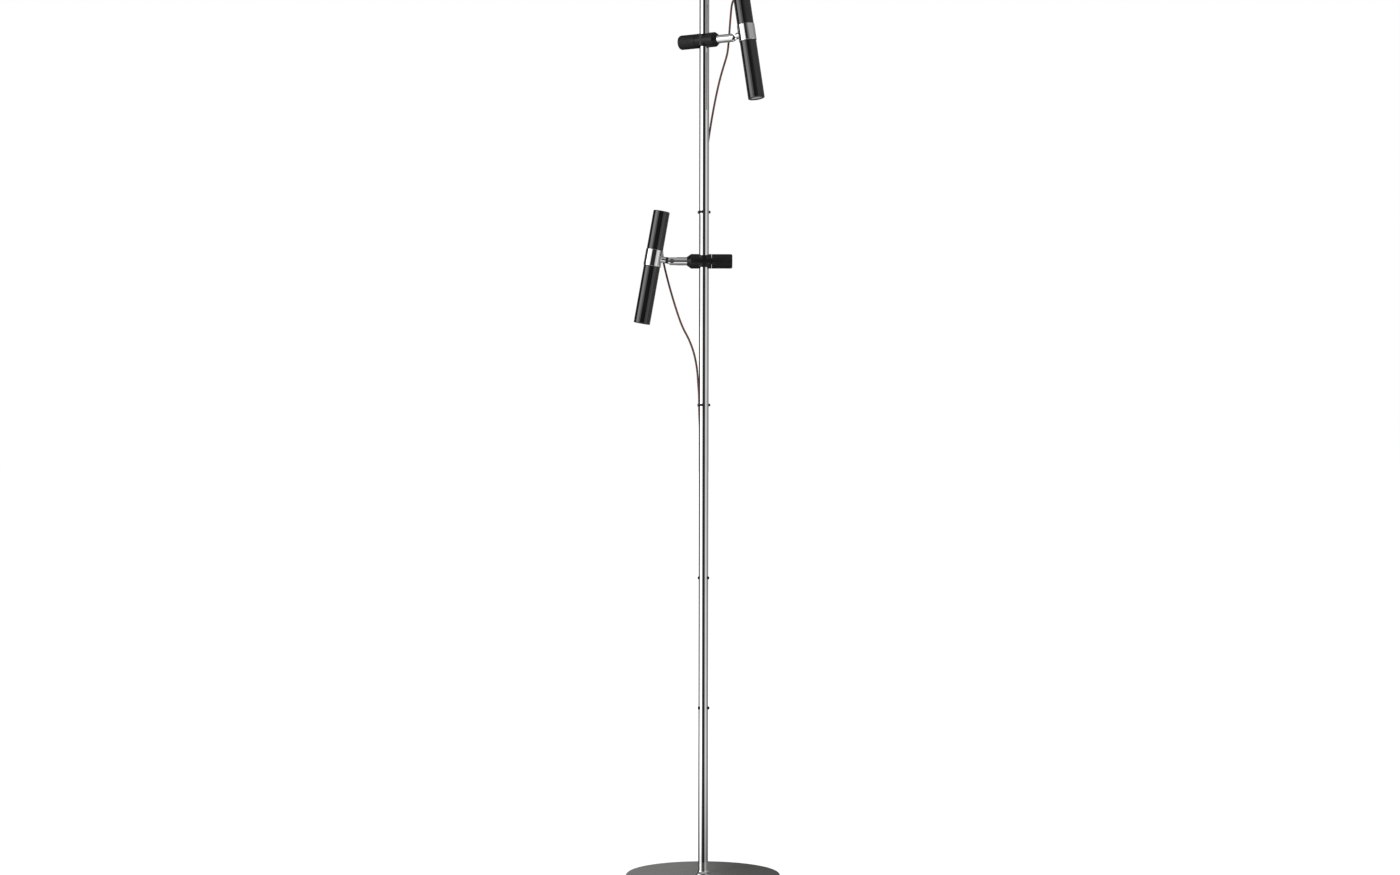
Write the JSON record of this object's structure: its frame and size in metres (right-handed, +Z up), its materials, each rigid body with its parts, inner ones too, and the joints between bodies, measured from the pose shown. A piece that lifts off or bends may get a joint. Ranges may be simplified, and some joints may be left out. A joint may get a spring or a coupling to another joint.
{
  "type": "floor lamp",
  "caption": "Free-standing pole floor lamp: weighted round base, chrome pole, and slim tubular spotlights on sliding, swivelling clamps.",
  "frame": {"origin": "centre of the base's underside, on the floor, on the pole's axis", "axes": "+Z up along the pole, +X to the right and +Y to the back as the lamp is seen from its front"},
  "size_m": [0.3, 0.3, 1.754],
  "materials": {
    "felt": "matte",
    "cast_iron": "matte",
    "base_grey": "satin",
    "chrome": "polished",
    "zinc_steel": "satin",
    "brass": "satin",
    "nylon": "satin",
    "clamp_black": "satin",
    "knob_black": "satin",
    "head_black": "gloss",
    "lens_frost": "satin",
    "reflector": "polished",
    "heat_sink": "satin",
    "led_board": "satin",
    "cord_brown": "satin",
    "black_rubber": "matte",
    "clip_plastic": "satin",
    "terminal_plastic": "satin",
    "wire_white": "satin",
    "friction_washer": "satin"
  },
  "bodies": {
    "root": {"base_felt_pad": "felt", "base_weight": "cast_iron", "base_cover": "base_grey", "foot_nut": "zinc_steel", "foot_washer": "zinc_steel", "foot_stud": "zinc_steel", "foot_collar": "chrome", "pole": "chrome", "pole_insert": "zinc_steel", "pole_top_cap": "chrome", "cable_clips": "clip_plastic", "base_grommet": "black_rubber", "outlet_gland": "black_rubber", "terminal_block": "terminal_plastic", "upper_free_cord": "cord_brown", "lower_free_cord": "cord_brown", "upper_cord_mid": "cord_brown", "upper_pole_cord": "cord_brown", "lower_pole_cord": "cord_brown"},
    "upper_slider": {"upper_liner": "nylon"},
    "upper_clamp": {"upper_clamp_body": "clamp_black", "upper_arm": "chrome", "upper_hinge_screw": "zinc_steel", "upper_hinge_washers": "friction_washer"},
    "upper_shoe": {"upper_shoe": "brass"},
    "upper_knob": {"upper_knob": "knob_black", "upper_knob_insert": "brass"},
    "upper_head": {"upper_head_lug": "chrome", "upper_head_band": "chrome", "upper_long_tube": "head_black", "upper_short_tube": "head_black", "upper_bezel": "head_black", "upper_end_cap": "head_black", "upper_lens": "lens_frost", "upper_reflector": "reflector", "upper_led_module": "led_board", "upper_heat_sink": "heat_sink", "upper_head_wires": "wire_white", "upper_cord_gland": "black_rubber"},
    "lower_slider": {"lower_liner": "nylon"},
    "lower_clamp": {"lower_clamp_body": "clamp_black", "lower_arm": "chrome", "lower_hinge_screw": "zinc_steel", "lower_hinge_washers": "friction_washer"},
    "lower_shoe": {"lower_shoe": "brass"},
    "lower_knob": {"lower_knob": "knob_black", "lower_knob_insert": "brass"},
    "lower_head": {"lower_head_lug": "chrome", "lower_head_band": "chrome", "lower_long_tube": "head_black", "lower_short_tube": "head_black", "lower_bezel": "head_black", "lower_end_cap": "head_black", "lower_lens": "lens_frost", "lower_reflector": "reflector", "lower_led_module": "led_board", "lower_heat_sink": "heat_sink", "lower_head_wires": "wire_white", "lower_cord_gland": "black_rubber"}
  },
  "joints": [
    {"name": "upper_slide", "type": "slide", "parent": "root", "child": "upper_slider", "axis": [0, 0, 1], "range_m": [-0.1, 0.02], "deforming": ["upper_free_cord"]},
    {"name": "upper_swing", "type": "hinge", "parent": "upper_slider", "child": "upper_clamp", "pos_m": [0, 0, 1.6305], "axis": [0, 0, 1], "range_deg": [-90, 90], "deforming": ["upper_free_cord"]},
    {"name": "upper_tilt", "type": "hinge", "parent": "upper_clamp", "child": "upper_head", "pos_m": [0.0514, -0.03467, 1.6305], "axis": [0.5592, 0.829, 0], "range_deg": [-25, 35], "deforming": ["upper_free_cord"]},
    {"name": "upper_shoe_slide", "type": "slide", "parent": "upper_clamp", "child": "upper_shoe", "axis": [-0.829, 0.5592, 0], "range_m": [0, 0.00151]},
    {"name": "upper_knob_turn", "type": "hinge", "parent": "upper_clamp", "child": "upper_knob", "pos_m": [0, 0, 1.6305], "axis": [-0.829, 0.5592, 0], "range_deg": [0, 540]},
    {"name": "lower_slide", "type": "slide", "parent": "root", "child": "lower_slider", "axis": [0, 0, 1], "range_m": [-0.1, 0.02], "deforming": ["lower_free_cord", "upper_cord_mid"]},
    {"name": "lower_swing", "type": "hinge", "parent": "lower_slider", "child": "lower_clamp", "pos_m": [0, 0, 1.2025], "axis": [0, 0, 1], "range_deg": [-90, 90], "deforming": ["lower_free_cord", "upper_cord_mid"]},
    {"name": "lower_tilt", "type": "hinge", "parent": "lower_clamp", "child": "lower_head", "pos_m": [-0.062, 0, 1.2025], "axis": [0, -1, 0], "range_deg": [-25, 35], "deforming": ["lower_free_cord"]},
    {"name": "lower_shoe_slide", "type": "slide", "parent": "lower_clamp", "child": "lower_shoe", "axis": [1, 0, 0], "range_m": [0, 0.00151]},
    {"name": "lower_knob_turn", "type": "hinge", "parent": "lower_clamp", "child": "lower_knob", "pos_m": [0, 0, 1.2025], "axis": [1, 0, 0], "range_deg": [0, 540]}
  ],
  "couplings": [
    {"joint": "upper_shoe_slide", "follows": "upper_knob_turn", "m_per_rad": 0.00015915},
    {"joint": "lower_shoe_slide", "follows": "lower_knob_turn", "m_per_rad": 0.00015915}
  ]
}
